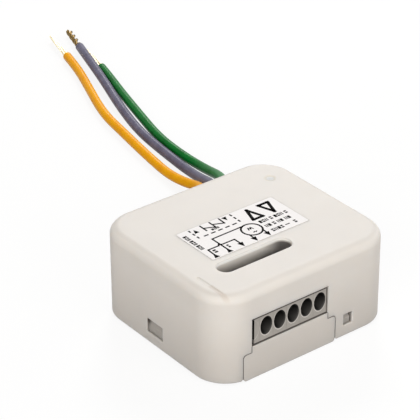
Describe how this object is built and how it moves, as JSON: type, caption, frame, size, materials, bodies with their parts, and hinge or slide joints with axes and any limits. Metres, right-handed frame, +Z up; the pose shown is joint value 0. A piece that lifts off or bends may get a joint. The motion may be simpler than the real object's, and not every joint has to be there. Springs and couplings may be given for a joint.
{
  "type": "in-wall shutter transmitter",
  "caption": "Compact in-wall roller shutter radio module: rounded box with a front terminal strip, a screwdriver slot over the release keys and flying leads at the back.",
  "frame": {"origin": "middle of the flat underside of the housing", "axes": "+Z up through the roof, +X to the right along the terminal side, -Y out of the terminal side"},
  "size_m": [0.0724, 0.1576, 0.0209],
  "materials": {
    "housing_plastic": "fine satin, warm off-white",
    "label_film": "white printed film",
    "board_laminate": "green solder mask",
    "terminal_plastic": "grey polyamide",
    "key_plastic": "lighter grey polyamide",
    "relay_plastic": "black case",
    "film_capacitor_case": "yellow box",
    "capacitor_sleeve": "black shrink sleeve",
    "varistor_coating": "blue epoxy dip",
    "resistor_coating": "grey-green lacquer",
    "ferrite": "dark ferrite with lacquered winding",
    "chip_resin": "black moulding resin",
    "can_metal": "nickel-plated can",
    "tinned_metal": "tinned copper alloy",
    "spring_steel": "rolled spring steel",
    "led_resin": "diffused resin",
    "clear_plastic": "clear polycarbonate",
    "orange_insulation": "glossy PVC",
    "grey_insulation": "glossy PVC, violet-grey",
    "green_insulation": "glossy PVC",
    "tinned_strands": "tinned strands",
    "copper_strands": "twisted bare copper strands"
  },
  "bodies": {
    "module": {"top_shell": "housing_plastic", "base": "housing_plastic", "label": "label_film", "circuit_board": "board_laminate", "terminal_end_plate": "terminal_plastic", "relay_up": "relay_plastic", "relay_down": "relay_plastic", "suppression_capacitor": "film_capacitor_case", "bulk_capacitor": "capacitor_sleeve", "varistor": "varistor_coating", "fuse_resistor": "resistor_coating", "choke": "ferrite", "bridge_rectifier": "chip_resin", "power_converter": "chip_resin", "microcontroller": "chip_resin", "radio_chip": "chip_resin", "crystal": "can_metal", "antenna": "tinned_metal", "status_led": "led_resin", "light_pipe": "clear_plastic", "wire_holder": "terminal_plastic", "holder_pins": "tinned_metal", "wire_orange": "orange_insulation", "wire_grey": "grey_insulation", "wire_green": "green_insulation", "bare_end_orange": "tinned_strands", "bare_end_grey": "copper_strands", "bare_end_green": "tinned_strands", "terminal_pole_1": "terminal_plastic", "clamp_spring_1": "spring_steel", "contact_bar_1": "tinned_metal", "terminal_pole_2": "terminal_plastic", "clamp_spring_2": "spring_steel", "contact_bar_2": "tinned_metal", "terminal_pole_3": "terminal_plastic", "clamp_spring_3": "spring_steel", "contact_bar_3": "tinned_metal", "terminal_pole_4": "terminal_plastic", "clamp_spring_4": "spring_steel", "contact_bar_4": "tinned_metal", "terminal_pole_5": "terminal_plastic", "clamp_spring_5": "spring_steel", "contact_bar_5": "tinned_metal"},
    "key_1": {"release_key_1": "key_plastic"},
    "key_2": {"release_key_2": "key_plastic"},
    "key_3": {"release_key_3": "key_plastic"},
    "key_4": {"release_key_4": "key_plastic"},
    "key_5": {"release_key_5": "key_plastic"}
  },
  "joints": [
    {"name": "key_press_1", "type": "slide", "parent": "module", "child": "key_1", "axis": [0, 0, -1], "range_m": [0, 0.0012], "stiffness_N_per_m": 6000, "deforming": ["clamp_spring_1"]},
    {"name": "key_press_2", "type": "slide", "parent": "module", "child": "key_2", "axis": [0, 0, -1], "range_m": [0, 0.0012], "stiffness_N_per_m": 6000, "deforming": ["clamp_spring_2"]},
    {"name": "key_press_3", "type": "slide", "parent": "module", "child": "key_3", "axis": [0, 0, -1], "range_m": [0, 0.0012], "stiffness_N_per_m": 6000, "deforming": ["clamp_spring_3"]},
    {"name": "key_press_4", "type": "slide", "parent": "module", "child": "key_4", "axis": [0, 0, -1], "range_m": [0, 0.0012], "stiffness_N_per_m": 6000, "deforming": ["clamp_spring_4"]},
    {"name": "key_press_5", "type": "slide", "parent": "module", "child": "key_5", "axis": [0, 0, -1], "range_m": [0, 0.0012], "stiffness_N_per_m": 6000, "deforming": ["clamp_spring_5"]}
  ]
}
